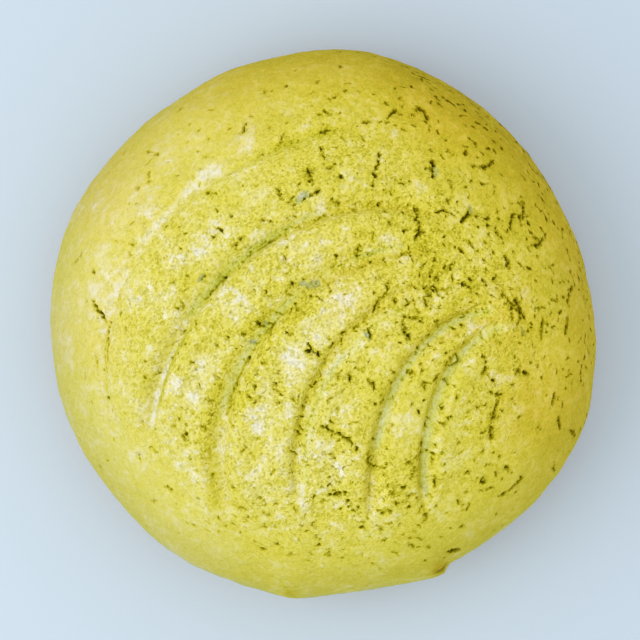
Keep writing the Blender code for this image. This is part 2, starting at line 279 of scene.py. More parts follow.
# Open gaps that show a pale floor: half width, points in plan
GAPS = (
    (0.62, (-4.8, 7.8), (-0.9, 7.6)),
    (0.70, (-5.5, 23.2), (-3.2, 25.2)),
    (0.45, (-11.9, 0.4), (-11.0, 0.2)),
    (0.40, (-14.6, -3.3), (-13.1, -3.2)),
    (0.50, (21.7, 30.9), (21.6, 28.7)),
    (0.50, (7.9, -1.7), (8.5, -3.1)),
    (0.55, (28.3, 23.1), (29.2, 21.8)),
    (0.40, (-24.3, 8.1), (-23.3, 9.6)),
    (0.40, (38.4, -0.4), (39.2, -2.3)),
)
GAP_DEPTH = 0.5
GAP_WIDTHS = (0.8, 1.3)

# Patches and lumps of pale sugar: half width, strength, points in plan
SUGAR_PATCHES = (
    (2.2, 0.90, (-0.5, -0.8), (6.4, 5.9)),
    (1.9, 0.80, (-8.3, -5.3), (-5.4, -10.3)),
    (1.6, 0.90, (-10.8, -12.2), (-12.2, -18.8)),
    (1.3, 0.60, (-12.8, -28.1), (-11.2, -26.1)),
    (1.6, 1.00, (-25.1, -14.2), (-22.9, -7.3)),
    (0.9, 0.70, (-19.1, 17.7), (-18.2, 17.0)),
    (1.4, 0.70, (-14.3, 23.1), (-11.3, 25.4)),
    (1.8, 0.50, (-27.4, 11.9), (-22.8, 14.2)),
    (1.9, 0.50, (-31.7, 4.0), (-29.3, 5.8)),
    (1.2, 0.80, (-23.2, 29.3), (-22.2, 30.2)),
    (0.7, 0.80, (-35.2, 15.7), (-26.8, 25.8)),
    (0.9, 1.00, (-36.5, 13.6), (-36.0, 14.2)),
    (0.9, 0.60, (-41.3, 6.2), (-38.5, 10.5)),
    (0.9, 0.80, (-42.7, 2.3), (-42.2, 3.0)),
    (1.6, 0.40, (-6.0, 13.8), (3.4, 17.4)),
    (0.8, 0.70, (11.6, 16.5), (14.9, 15.2)),
    (1.3, 0.40, (7.2, 20.9), (8.0, 20.5)),
    (1.8, 0.45, (1.1, -13.6), (4.5, -18.4)),
    (1.6, 0.50, (-0.5, -23.2), (2.6, -27.7)),
    (1.8, 0.40, (-13.4, -31.1), (-9.6, -35.0)),
    (1.1, 1.30, (-4.6, -34.2), (-3.8, -35.0)),
    (0.6, 0.80, (-20.7, -22.9), (-20.0, -28.2), (-18.9, -34.1)),
    (0.9, 0.70, (-28.6, -27.7), (-28.1, -28.1)),
    (1.0, 0.80, (-36.0, -24.6), (-35.4, -25.2)),
    (0.8, 0.90, (27.1, -8.5), (27.4, -9.2)),
    (0.8, 0.40, (22.3, -21.6), (22.2, -23.0)),
    (1.0, 0.40, (-5.7, -42.0), (-5.0, -42.4)),
    (1.3, 0.50, (-16.9, 1.1), (-16.2, 4.0)),
    (0.7, 0.50, (19.8, 43.4), (20.4, 43.0)),
    (1.0, 0.40, (-14.5, 40.0), (-13.8, 39.4)),
    (1.2, 0.40, (-43.8, -7.0), (-41.8, -11.9)),
)

# Short cracks by a seeded rule: tries, spacing where there are few and many, and the ranges of lines and of pits
SEED = 41
SHORT_TRIES = 12000
CLEAR_PLACES = (
    ((20.0, 11.0), 13.0, 0.45),
    ((30.0, -34.0), 14.0, 0.35),
    ((-4.0, -47.0), 10.0, 0.3),
    ((-26.0, -34.0), 15.0, -0.7),
    ((2.0, -33.0), 11.0, -0.5),
    ((22.0, -26.0), 8.0, -0.4),
    ((-24.0, 34.0), 15.0, -0.5),
    ((48.0, 10.0), 9.0, -0.9),
)
GROUP_SIZE = 7.0
GROUP_CONTRAST = 2.3
SHORT_SPACING = (1.8, 1.3)
LINE_LENGTH = (0.6, 2.7)
LINE_WIDTH = (0.10, 0.23)
PIT_LENGTH = (0.2, 1.1)
PIT_WIDTH = (0.17, 0.60)
PIT_SHARE = 0.58
SHORT_DEPTH = (0.35, 0.85)
SHORT_SHARE = (0.6, 1.35)

# Crooked course of every crack: step, sideways swing, range of widths, width at its tips
JAG_STEP = 0.45
JAG_SWING = 0.16
JAG_WIDTHS = (0.10, 1.15)
JAG_TIP = 0.4
CRACK_SHARE = 0.72
FINE_SHARE = 0.88
CRACK_LIP = 0.05

# Pits strung along the arcs: arc, from and to along it, place across it, scatter across, share kept
STRUNG_PITS = (
    (0, 3, 27, -0.7, 0.35, 0.8),
    (0, 55, 82, 0.0, 0.2, 0.6),
    (1, 3, 31, -2.6, 0.35, 1.0),
    (1, 31, 62, 0.0, 0.3, 0.5),
    (2, 0, 30, -2.2, 1.1, 0.9),
    (2, 40, 66, 0.0, 0.4, 0.5),
    (3, 2, 20, -1.8, 0.7, 0.9),
    (3, 20, 60, -0.6, 0.8, 0.4),
    (4, 8, 41, -0.5, 0.5, 0.4),
    (5, 13, 28, -1.5, 0.3, 1.0),
    (5, 28, 40, -1.5, 0.7, 0.5),
)
STRUNG_STEP = 1.15

# Ragged edges of the cracks: wavelength and shift
RAGGED = ((1.1, 0.22), (0.45, 0.10))
RAGGED_OFFSET = Vector((5.3, 1.7, 8.8))

# Thin crease along the foot of each arc's wall
CREASE_HALF_WIDTH = 0.28
CREASE_DEPTH = 0.35

LUMPS = ((17.0, 0.5), (6.5, 0.22))
LUMP_OFFSET = Vector((3.1, 7.4, 1.9))
CRUMBLE = ((2.8, 0.13), (1.3, 0.07))
CRUMBLE_OFFSET = Vector((9.2, 4.4, 0.6))

# Share of sugar: level, change across the roll, fall towards the rim, and what a patch adds
DUST_LEVEL = 0.515
DUST_TILT = (-0.115, -0.07)
DUST_FALL = (0.07, 0.16)
DUST_SPAN = 50.0
SUGAR_PLACES = (
    ((17.0, 32.0), 10.0, 0.07),
    ((36.0, 36.0), 14.0, -0.03),
    ((1.0, -2.0), 9.0, -0.06),
    ((-16.0, 27.0), 8.0, 0.10),
    ((-12.0, 0.0), 6.0, -0.10),
    ((-19.0, -11.0), 5.0, -0.08),
    ((-26.0, 40.0), 14.0, 0.10),
    ((-8.0, -44.0), 13.0, -0.06),
    ((-44.0, 25.0), 9.0, 0.06),
    ((-52.0, 2.0), 8.0, 0.08),
    ((-26.0, -46.0), 8.0, 0.07),
    ((0.0, 0.0), 5.0, 0.06),
    ((-38.0, 19.0), 12.0, 0.06),
    ((-8.0, 49.0), 9.0, 0.05),
    ((4.0, 51.0), 8.0, 0.07),
    ((40.0, -16.0), 9.0, -0.05),
    ((23.0, 7.0), 6.0, -0.10),
    ((0.0, -46.0), 16.0, 0.04),
)
PATCH_SHARE = 0.27
BARE_SPOTS = (((23.0, -48.8), 2.2, 1.2), ((-7.0, -53.8), 1.5, 0.8))
BARE_SUGAR = 0.30
BARE_PLACE = 0.88
BARE_REACH = 0.16
CALM_FROM = 32.0
CALM_TO = 51.0
CALM_SHARE = 0.46
MOTTLE_PLACES = (
    ((2.0, -2.0), 18.0, 0.07),
    ((2.0, -36.0), 18.0, 0.10),
    ((31.0, 34.0), 14.0, -0.15),
    ((-24.0, 34.0), 14.0, -0.20),
    ((-30.0, -36.0), 14.0, -0.10),
    ((18.0, -16.0), 13.0, -0.22),
)
# Paler and greener low rim: partly a paler crust there, partly painted reflection of the pale floor
LOW_RIM_SUGAR_AND_REFLECTION = 0.18

# Colours of the crust from a deep crack to thick sugar, by the share of sugar, as display values; the darkest serve
# mostly as painted shade inside the cracks and creases
CRUST_COLOURS = (
    (0.00, (108, 100, 0)),
    (0.05, (133, 125, 4)),
    (0.12, (164, 156, 18)),
    (0.22, (191, 182, 40)),
    (0.32, (206, 197, 60)),
    (0.43, (215, 206, 83)),
    (0.53, (219, 211, 105)),
    (0.65, (223, 215, 131)),
    (0.80, (227, 221, 162)),
    (1.00, (231, 227, 198)),
)
BREAD_COLOURS = (
    (0.00, (238, 208, 148)),
    (0.30, (226, 182, 108)),
    (0.60, (201, 141, 66)),
    (0.85, (172, 106, 42)),
    (1.00, (146, 84, 32)),
)
GOLDEN_TINT = (1.05, 0.85, 0.68, 1)
GREEN_TINT = (0.86, 0.95, 1.12, 1)
GAP_TINT = (0.78, 0.82, 0.78, 1)

# Where the crust is baked more golden
GOLD_ANGLE = 42.0
GOLD_FROM = 20.0
GOLD_TO = 53.0
GOLD_MIDDLE = 0.25
GOLD_PLACES = (
    ((26.0, 44.0), 9.0, 0.4),
    ((-43.0, 25.0), 14.0, 0.3),
    ((-20.0, 42.0), 12.0, 0.15),
    ((34.0, 1.0), 7.0, 0.25),
    ((-46.0, -2.0), 12.0, 0.25),
    ((40.0, -16.0), 9.0, 0.3),
)
# Painted light in the crust's colour: brighter towards the right, where the lamp gives less light, painted shade
# along the rim, partly its darker baking, and painted light and shade at some places
RIM_FROM = 44.0
RIM_TO = 55.0
RIM_SHADE = 0.86
PAINTED_LIGHT_ANGLE = 20.0
PAINTED_LIGHT_LEVEL = 1.03
PAINTED_LIGHT_TILT = 0.11
PAINTED_LIGHT_PLACES = (
    ((38.0, 29.0), 11.0, -0.07),
    ((42.0, -12.0), 15.0, -0.015),
    ((48.0, 9.0), 8.0, -0.10),
    ((48.0, 0.0), 5.0, -0.03),
    ((-22.0, 36.0), 14.0, 0.02),
    ((28.0, -43.0), 10.0, -0.04),
    ((38.0, -20.0), 11.0, -0.04),
    ((-46.0, 16.0), 15.0, 0.03),
)

# Meshes: longest edge on each kind of place
FIRST_SUBDIVISIONS = 6
SPLIT_PASSES = 5
CRUST_SHARE = 0.70
PLAIN_EDGE = 1.2
GROOVE_EDGE = 0.56
CREASE_EDGE = 0.34
CRACK_EDGE = 0.24
INNER_EDGE = 4.0
GROOVE_REACH = 2.0
CREASE_REACH = 0.8
CRACK_REACH = 0.18
CRACK_FIELD = 1.4
EDGE_KEY = 10 ** 7
BREAD_SEGMENTS = 180
BREAD_RINGS = 120

# How brown the bread is baked, by the place on the profile below the crust's edge
BAKE_PLACES = (0.0, 0.12, 0.35, 0.65, 0.82, 1.2)
BAKE_SHARES = (0.40, 0.25, 0.48, 0.80, 0.95, 0.85)

# Camera and light
PIXEL = 0.2041          # millimetres a pixel at the waist
PICTURE_WIDTH = 640
PICTURE_MIDDLE = (-0.92, 0.82)
EYE_HEIGHT = 560.0      # above the waist
SENSOR = 36.0


def outline(theta):
    """Widest radius in the direction theta, without the torn step."""
    degrees = np.degrees(theta)
    radius = np.full_like(degrees, MEAN_RADIUS)
    for at, amount, width in LOBES:
        away = (degrees - at + 180) % 360 - 180
        radius += amount * np.exp(-(away / width) ** 2)
    return radius


def outline_middle():
    """Middle of the outline's box, which is put on the vertical axis."""
    theta = np.linspace(-math.pi, math.pi, 1441)
    x = outline(theta) * np.cos(theta)
    y = outline(theta) * np.sin(theta)
    return (x.min() + x.max()) / 2, (y.min() + y.max()) / 2


def roll_face(a, theta):
    """Point of the smooth outer face: a runs 0 at the top, 1 at the waist, 2 at the base's rim."""
    widest = outline(theta)
    base = widest * BASE_SHARE
    up = np.clip(a, 0, 1) * math.pi / 2
    down = np.clip(a - 1, 0, 1) * math.pi / 2
    across = np.clip(a - 2, 0, 1)
    dome_radius = widest * np.sin(up) ** (2 / DOME_POWER)
    dome_z = WAIST + (HEIGHT - WAIST) * np.clip(np.cos(up), 0, 1) ** (2 / DOME_POWER)
    side_radius = base + (widest - base) * np.clip(np.cos(down), 0, 1) ** (2 / SIDE_POWER)
    side_z = WAIST * (1 - np.sin(down) ** (2 / SIDE_POWER))
    radius = np.where(a <= 1, dome_radius, side_radius * (1 - across))
    z = np.where(a <= 1, dome_z, side_z)
    lean = np.clip(z / HEIGHT, 0, 1) ** 2
    x = radius * np.cos(theta) + LEAN[0] * lean
    y = radius * np.sin(theta) + LEAN[1] * lean
    return np.stack((x, y, z), axis=1)


def roll_frame(a, theta):
    """Outward unit normal of the smooth face, and the unit directions down it and around it."""
    step = 0.004
    a = np.clip(a, 0.02, 1.98)
    along = roll_face(a + step, theta) - roll_face(a - step, theta)
    around = roll_face(a, theta + step) - roll_face(a, theta - step)
    along /= np.linalg.norm(along, axis=1, keepdims=True)
    around /= np.linalg.norm(around, axis=1, keepdims=True)
    normal = np.cross(along, around)
    return normal / np.linalg.norm(normal, axis=1, keepdims=True), along, around


def on_dome(points):
    """Points given in plan, lifted to the dome's outer face."""
    plan = np.array(points, float)
    z = np.full(len(plan), HEIGHT)
    for _ in range(8):
        lean = (z / HEIGHT) ** 2
        x = plan[:, 0] - LEAN[0] * lean
        y = plan[:, 1] - LEAN[1] * lean
        share = np.clip(np.hypot(x, y) / outline(np.arctan2(y, x)), 0, 1)
        z = WAIST + (HEIGHT - WAIST) * (1 - share ** DOME_POWER) ** (1 / DOME_POWER)
    return np.column_stack((plan, z))


def noise_at(points, wavelength, offset):
    return np.array([noise.noise(Vector(p) / wavelength + offset) for p in points])


def distance_to(points, line):
    """Distance of each point to a line of several pieces, the way along it, its length and the foot."""
    nearest = np.full(len(points), np.inf)
    travelled = np.zeros(len(points))
    foot = np.zeros((len(points), 3))
    start = 0.0
    for first, second in zip(line[:-1], line[1:]):
        piece = second - first
        length = np.linalg.norm(piece)
        share = np.clip((points - first) @ piece / length ** 2, 0, 1)
        on_line = first + share[:, None] * piece
        away = np.linalg.norm(points - on_line, axis=1)
        closer = away < nearest
        nearest = np.where(closer, away, nearest)
        travelled = np.where(closer, start + share * length, travelled)
        foot[closer] = on_line[closer]
        start += length
    return nearest, travelled, start, foot


def oval_share(x, y, top, left, fullness):
    """Less than 1 inside the oval that an arc is a stretch of."""
    across = np.abs(x - top[0]) / (top[0] - left[0])
    along = np.abs(y - left[1]) / (top[1] - left[1])
    return across ** fullness + along ** fullness


def groove_line(top, left, begin, end, fullness):
    """One stamped arc on the dome, at the foot of its steep wall."""
    angle = np.radians(np.linspace(begin, end, GROOVE_STEPS))
    cosine = np.cos(angle)
    sine = np.sin(angle)
    x = top[0] + (top[0] - left[0]) * np.sign(cosine) * np.abs(cosine) ** (2 / fullness)
    y = left[1] + (top[1] - left[1]) * np.sign(sine) * np.abs(sine) ** (2 / fullness)
    return on_dome(np.column_stack((x, y)))


def groove_fields(points):
    """Relief of the stamped arcs and the pillows between them. Then, for the colours, the way across the
    nearest arc, more than 0 on its wall's side, the arcs' sugar and tint, and how much painted shade the crease
    gets."""
    cut = np.zeros(len(points))
    swell = np.zeros(len(points))
    across = np.full(len(points), 9.0)
    sugar = np.zeros(len(points))
    tint = np.zeros(len(points))
    crease_shade = np.zeros(len(points))
    for number, (top, left, begin, end, floor, depth, fullness, slow) in enumerate(GROOVES):
        away, along, length, _ = distance_to(points, groove_line(top, left, begin, end, fullness))
        fade = np.clip(np.minimum(along / slow, (length - along) / GROOVE_FADE), 0, 1)
        fade = fade * fade * (3 - 2 * fade)
        dark_here = np.zeros(len(points))
        for arc, first, last, strength in CREASES:
            if arc == number:
                dark_here = np.maximum(dark_here, strength * stretch(along, first, last))
        # Strength of the painted shade in the crease, for the colours
        crease_shade = np.where(away < np.abs(across), dark_here, crease_shade)
        wall_side = np.sign(1 - oval_share(LEAN[0], LEAN[1], top, left, fullness))
        side = wall_side * np.sign(1 - oval_share(points[:, 0], points[:, 1], top, left, fullness))
        signed = away * side
        reach = np.where(signed > 0, WALL_REACHES[number], floor)
        crease = dark_here * CREASE_DEPTH * np.exp(-(away / CREASE_HALF_WIDTH) ** 2)
        cut = np.maximum(cut, fade * (depth * np.exp(-(away / reach) ** 2) + crease))
        rise = np.exp(-((away - PILLOW_AWAY) / PILLOW_SPREAD) ** 2)
        swell = np.maximum(swell, PILLOW_HEIGHT * depth / 1.5 * fade * rise)
        across = np.where((away < np.abs(across)) & (fade > 0), signed, across)
        for arc, first, last, place, half_width, more_sugar, greener in ARC_STRETCHES:
            if arc == number:
                here = stretch(along, first, last) * np.exp(-((signed - place) / half_width) ** 2)
                sugar += more_sugar * here
                tint += greener * here
    relief = swell - cut - np.where(cut > 0, swell * cut / 2, 0)
    return relief, across, sugar, tint, crease_shade


def stretch(along, first, last):
    """1 on a stretch of an arc, falling to 0 at its ends."""
    rise = np.clip((along - first) / STRETCH_FADE + 0.5, 0, 1)
    return rise * np.clip((last - along) / STRETCH_FADE + 0.5, 0, 1)


class Crack:
    """A crack's line, with its half width at each point of the line, and its depth."""

    def __init__(self, line, widths, depth):
        self.line = line
        self.widths = widths
        self.depth = depth
        steps = np.linalg.norm(np.diff(line, axis=0), axis=1)
        self.stations = np.concatenate(([0], np.cumsum(steps)))


def jagged_crack(rng, line, width, depth, widths=JAG_WIDTHS):
    """A crack that follows a line in short crooked steps, wide and narrow by turns."""
    line = np.array(line, float)
    steps = np.linalg.norm(np.diff(line, axis=0), axis=1)
    stations = np.concatenate(([0], np.cumsum(steps)))
    count = max(2, round(stations[-1] / JAG_STEP)) + 1
    at = np.linspace(0, stations[-1], count)
    points = np.column_stack([np.interp(at, stations, line[:, axis]) for axis in range(3)])
    points[1:-1, :2] += rng.normal(0, JAG_SWING * min(1, stations[-1] / 2), (count - 2, 2))
    widths = width * between(widths, rng.random(count) ** 1.3)
    widths[[0, -1]] *= JAG_TIP
    return Crack(points, widths, depth)


def crack_fields(points, cracks, reach):
    """How far inside the nearest crack each point is, less than 0 outside, and how deep it is cut."""
    inside = np.full(len(points), -reach)
    cut = np.zeros(len(points))
    order = np.argsort(points[:, 0])
    sorted_x = points[order, 0]
    for crack in cracks:
        widest = crack.widths.max()
        low = crack.line.min(axis=0) - reach - widest
        high = crack.line.max(axis=0) + reach + widest
        row = order[np.searchsorted(sorted_x, low[0]):np.searchsorted(sorted_x, high[0])]
        near = row[((points[row] > low) & (points[row] < high)).all(axis=1)]
        if not len(near):
            continue
        away, along, _, _ = distance_to(points[near], crack.line)
        within = np.interp(along, crack.stations, crack.widths) - away
        inside[near] = np.maximum(inside[near], within)
        local = crack.depth * np.clip((within + CRACK_LIP) / (0.6 * widest + CRACK_LIP), 0, 1)
        cut[near] = np.maximum(cut[near], local)
    return inside, cut


def ragged(points):
    """Points pushed about a little, so that what is measured from them gets ragged edges."""
    moved = points.copy()
    for wavelength, amount in RAGGED:
        moved += [amount * noise.noise_vector(Vector(p) / wavelength + RAGGED_OFFSET) for p in points]
    return moved


def tear_relief(a, theta):
    """Step outward beside the torn place, strongest at the waist."""
    away = (np.degrees(theta) - TEAR_ANGLE + 180) % 360 - 180
    rise = np.clip(-away / TEAR_RAMP, 0, 1) * np.exp(-(away / TEAR_REACH) ** 2)
    near_waist = np.exp(-((a - 1) / 0.25) ** 2)
    return TEAR_STEP * rise * near_waist


def unevenness(points):
    """Soft lumps of the baked crust, and its crumbly face."""
    rise = np.zeros(len(points))
    for wavelength, amount in LUMPS:
        rise += amount * noise_at(points, wavelength, LUMP_OFFSET)
    for wavelength, amount in CRUMBLE:
        rise += amount * noise_at(points, wavelength, CRUMBLE_OFFSET)
    return rise


def hills(points, places):
    """Sum of soft round hills: place, spread and height of each."""
    total = np.zeros(len(points))
    for place, spread, height in places:
        away = (points[:, 0] - place[0]) ** 2 + (points[:, 1] - place[1]) ** 2
        total += height * np.exp(-away / spread ** 2)
    return total


def dust_field(points):
    """Share of sugar in the crust's colour: an even layer that is thicker on the left, and the patches."""
    x = points[:, 0] / DUST_SPAN
    y = points[:, 1] / DUST_SPAN
    share = DUST_LEVEL + DUST_TILT[0] * x + DUST_TILT[1] * y - DUST_FALL[0] * x * x - DUST_FALL[1] * y * y
    share += hills(points, SUGAR_PLACES)
    patch = np.zeros(len(points))
    for width, strength, *line in SUGAR_PATCHES:
        away, _, _, _ = distance_to(points, on_dome(line))
        patch = np.maximum(patch, strength * np.exp(-(away / width) ** 2))
    return share + PATCH_SHARE * patch


def mottle_field(points):
    """How strongly the crust is mottled: less towards the rim."""
    share = np.clip((np.hypot(points[:, 0], points[:, 1]) - CALM_FROM) / (CALM_TO - CALM_FROM), 0, 1)
    return (1 + hills(points, MOTTLE_PLACES)) * (1 - CALM_SHARE * share * share * (3 - 2 * share))


def gold_field(points):
    """How much more golden the crust is baked: most at the upper right rim, not at all on the other side."""
    away = np.hypot(points[:, 0], points[:, 1])
    turn = np.arctan2(points[:, 1], points[:, 0]) - math.radians(GOLD_ANGLE)
    outward = np.clip((away - GOLD_FROM) / (GOLD_TO - GOLD_FROM), 0, 1) ** 3
    gold = (GOLD_MIDDLE + (1 - GOLD_MIDDLE) * outward) * (0.5 + 0.5 * np.cos(turn)) ** 1.5
    return gold + hills(points, GOLD_PLACES)


def painted_light_field(points):
    """Painted light in the crust's colour: evenly brighter on the right, where the lamp from the left gives less
    light, and painted shade along the rim, partly its darker baking, and at some places.
    """
    turn = math.radians(PAINTED_LIGHT_ANGLE)
    tilt = (points[:, 0] * math.cos(turn) + points[:, 1] * math.sin(turn)) / MEAN_RADIUS
    share = np.clip((np.hypot(points[:, 0], points[:, 1]) - RIM_FROM) / (RIM_TO - RIM_FROM), 0, 1)
    level = PAINTED_LIGHT_LEVEL + PAINTED_LIGHT_TILT * tilt + hills(points, PAINTED_LIGHT_PLACES)
    return level * (1 - (1 - RIM_SHADE) * share * share * (3 - 2 * share))


def crust_edge(theta):
    """Where the crust ends on the profile: a low wave of three unlike swings."""
    swing = np.sin(3 * theta + 0.6) + 0.7 * np.sin(7 * theta + 2.1) + 0.4 * np.sin(13 * theta)
    return CRUST_EDGE + EDGE_WAVE * swing


def crust_thickness(a, theta):
    share = np.clip((a - 0.7) / (crust_edge(theta) - 0.7), 0, 1)
    return CRUST_THICKNESS + (EDGE_THICKNESS - CRUST_THICKNESS) * share


def crust_place(directions):
    """Sphere directions as profile place and angle; the upper ones are on the outer face."""
    theta = np.arctan2(directions[:, 1], directions[:, 0])
    polar = np.arccos(np.clip(directions[:, 2], -1, 1)) / math.pi
    outer = polar <= CRUST_SHARE
    share = np.where(outer, polar / CRUST_SHARE, (1 - polar) / (1 - CRUST_SHARE))
    return crust_edge(theta) * share, theta, outer


def crack_density(points):
    """How cracked the crust is: much on the right and lower right, little on the upper left."""
    side = (points[:, 0] * 0.94 + points[:, 1] * -0.1 + 14) / 34
    side = np.clip(side, 0, 1)
    rim = np.clip((np.hypot(points[:, 0], points[:, 1]) - 38) / 12, 0, 1)
    kept = 0.05 + 0.4 * side * np.clip((points[:, 1] + 25) / 20, 0, 1)
    density = (0.3 + 0.7 * side * side * (3 - 2 * side)) * (1 - (1 - kept) * rim)
    density *= 1 - np.clip(hills(points, CLEAR_PLACES), -1, 1)
    groups = noise_at(points, GROUP_SIZE, CRUMBLE_OFFSET)
    return density * np.clip(0.5 + GROUP_CONTRAST * groups, 0.1, 1)


def between(limits, share):
    return limits[0] + (limits[1] - limits[0]) * share


def short_crack(rng, start, first, second, heading, share):
    """One short crack or pit from a place on the face, with two unit directions along it."""
    if rng.random() < PIT_SHARE:
        length = between(PIT_LENGTH, rng.random())
        width = between(PIT_WIDTH, rng.random() ** 2)
    else:
        length = between(LINE_LENGTH, rng.random() ** 1.8)
        width = between(LINE_WIDTH, rng.random())
    line = [start]
    for _ in range(3):
        heading += rng.normal(0, 0.5)
        line.append(line[-1] + (math.cos(heading) * first + math.sin(heading) * second) * length / 3)
    return jagged_crack(rng, line, width * between(SHORT_SHARE, share), between(SHORT_DEPTH, rng.random()))


def short_cracks(rng):
    """Short cracks and pits spread over the outer face, closer together where it cracked more."""
    a = np.sqrt(rng.random(SHORT_TRIES)) * 1.1
    theta = rng.random(SHORT_TRIES) * 2 * math.pi
    points = roll_face(a, theta)
    _, down, around = roll_frame(a, theta)
    density = crack_density(points)
    wanted = rng.random(SHORT_TRIES) < density
    spacing = between(SHORT_SPACING, density)
    kept = []
    cracks = []
    for i in np.nonzero(wanted)[0]:
        if kept and min(((np.array(kept) - points[i]) ** 2).sum(axis=1)) < spacing[i] ** 2:
            continue
        kept.append(points[i])
        heading = rng.normal(math.pi / 2, 0.8) if a[i] > 0.45 else rng.random() * math.pi
        cracks.append(short_crack(rng, points[i], down[i], around[i], heading, density[i]))
    return cracks


def strung_cracks(rng):
    """Pits and short cracks strung along the stamped arcs, a set way across them."""
    cracks = []
    for arc, begin, end, place, scatter, share in STRUNG_PITS:
        top, left, start_angle, end_angle, _, _, fullness, _ = GROOVES[arc]
        line = groove_line(top, left, start_angle, end_angle, fullness)
        steps = np.linalg.norm(np.diff(line, axis=0), axis=1)
        stations = np.concatenate(([0], np.cumsum(steps)))
        wall_side = np.sign(1 - oval_share(LEAN[0], LEAN[1], top, left, fullness))
        for at in np.arange(begin, end, STRUNG_STEP):
            if rng.random() > share:
                continue
            number = min(np.searchsorted(stations, at), len(steps)) - 1
            along = (line[number + 1] - line[number]) / steps[number]
            side = np.cross(along, (0, 0, 1)) * -wall_side
            start = line[number] + along * (at - stations[number]) + side * rng.normal(place, scatter)
            cracks.append(short_crack(rng, start, along, side, rng.normal(0, 0.4), 0.5))
    return cracks


def all_cracks():
    rng = np.random.default_rng(SEED)
    large = [jagged_crack(rng, on_dome(line), CRACK_SHARE * width, depth) for width, depth, *line in CRACKS]
    fine = [jagged_crack(rng, on_dome(line), FINE_SHARE * width, FINE_DEPTH) for width, *line in FINE_CRACKS]
    return large + fine + short_cracks(rng) + strung_cracks(rng)


def all_gaps():
    rng = np.random.default_rng(SEED)
    return [jagged_crack(rng, on_dome(line), width, GAP_DEPTH, GAP_WIDTHS) for width, *line in GAPS]


def sphere_triangles(subdivisions):
    bm = bmesh.new()
    bmesh.ops.create_icosphere(bm, subdivisions=subdivisions, radius=1)
    directions = np.array([v.co.normalized()[:] for v in bm.verts])
    triangles = np.array([[v.index for v in face.verts] for face in bm.faces])
    bm.free()
    return directions, triangles


def split_edges(directions, triangles, split):
    """Splits the chosen edges at their middles, so that neighbours stay joined."""
    edges = np.sort(triangles[:, [0, 1, 1, 2, 2, 0]].reshape(-1, 2), axis=1)
    keys, inverse = np.unique(edges[:, 0] * EDGE_KEY + edges[:, 1], return_inverse=True)
    chosen = split(keys)
    first, second = keys[chosen] // EDGE_KEY, keys[chosen] % EDGE_KEY
    middles = directions[first] + directions[second]
    middles /= np.linalg.norm(middles, axis=1, keepdims=True)
    number = np.full(len(keys), -1)
    number[chosen] = len(directions) + np.arange(chosen.sum())
    cut = number[inverse].reshape(-1, 3)
    count = (cut >= 0).sum(axis=1)
    done = [triangles[count == 0], cut[count == 3]]
    for turn in range(3):
        t = np.roll(triangles, -turn, axis=1)
        c = np.roll(cut, -turn, axis=1)
        one = (count == 1) & (c[:, 0] >= 0)
        two = (count == 2) & (c[:, 2] < 0)
        full = count == 3
        done.append(np.column_stack((t[one, 0], c[one, 0], t[one, 2])))
        done.append(np.column_stack((c[one, 0], t[one, 1], t[one, 2])))
        done.append(np.column_stack((c[two, 0], t[two, 1], c[two, 1])))
        done.append(np.column_stack((t[two, 0], c[two, 0], c[two, 1])))
        done.append(np.column_stack((t[two, 0], c[two, 1], t[two, 2])))
        done.append(np.column_stack((t[full, 0], c[full, 0], c[full, 2])))
    return np.vstack((directions, middles)), np.vstack(done)


def refine(directions, triangles, wanted):
    """Splits every edge that is longer than wanted there, until none is left."""
    settled = np.zeros(0, int)
    for _ in range(SPLIT_PASSES):
        a, theta, _ = crust_place(directions)
        points = roll_face(a, theta)

        def split(keys):
            nonlocal settled
            fresh = np.nonzero(~np.isin(keys, settled))[0]
            first, second = keys[fresh] // EDGE_KEY, keys[fresh] % EDGE_KEY
            length = np.linalg.norm(points[first] - points[second], axis=1)
            middles = directions[first] + directions[second]
            middles /= np.linalg.norm(middles, axis=1, keepdims=True)
            long = length > wanted(middles)
            settled = np.union1d(settled, keys[fresh[~long]])
            chosen = np.zeros(len(keys), bool)
            chosen[fresh[long]] = True
            return chosen

        directions, triangles = split_edges(directions, triangles, split)
    return directions, triangles


def wanted_edge(directions, cracks):
    """Longest edge that the crust's mesh may have at each place."""
    a, theta, outer = crust_place(directions)
    points = roll_face(a, theta)
    wanted = np.where(outer, PLAIN_EDGE, INNER_EDGE)
    _, across, _, _, crease_shade = groove_fields(points)
    wanted = np.where(outer & (np.abs(across) < GROOVE_REACH), GROOVE_EDGE, wanted)
    wanted = np.where(outer & (np.abs(across) < CREASE_REACH) & (crease_shade > 0), CREASE_EDGE, wanted)
    inside, _ = crack_fields(ragged(points), cracks, CRACK_REACH)
    return np.where(outer & (inside > -CRACK_REACH), CRACK_EDGE, wanted)


def mesh_object(name, points, triangles, material):
    """Smooth-shaded object from millimetre points in the shape's own frame."""
    middle_x, middle_y = outline_middle()
    placed = (points - (middle_x, middle_y, 0)) * MM
    mesh = bpy.data.meshes.new(name)
    mesh.vertices.add(len(placed))
    mesh.vertices.foreach_set("co", placed.astype(np.float32).ravel())
    mesh.loops.add(triangles.size)
    mesh.loops.foreach_set("vertex_index", triangles.astype(np.int32).ravel())
    mesh.polygons.add(len(triangles))
    mesh.polygons.foreach_set("loop_start", np.arange(0, triangles.size, 3, dtype=np.int32))
    mesh.update(calc_edges=True)
    mesh.validate()
    mesh.shade_smooth()
    mesh.materials.append(material)
    obj = bpy.data.objects.new(name, mesh)
    bpy.context.scene.collection.objects.link(obj)
    return obj


def give_attribute(obj, name, values):
    attribute = obj.data.attributes.new(name, "FLOAT", "POINT")
    attribute.data.foreach_set("value", values.astype(np.float32))


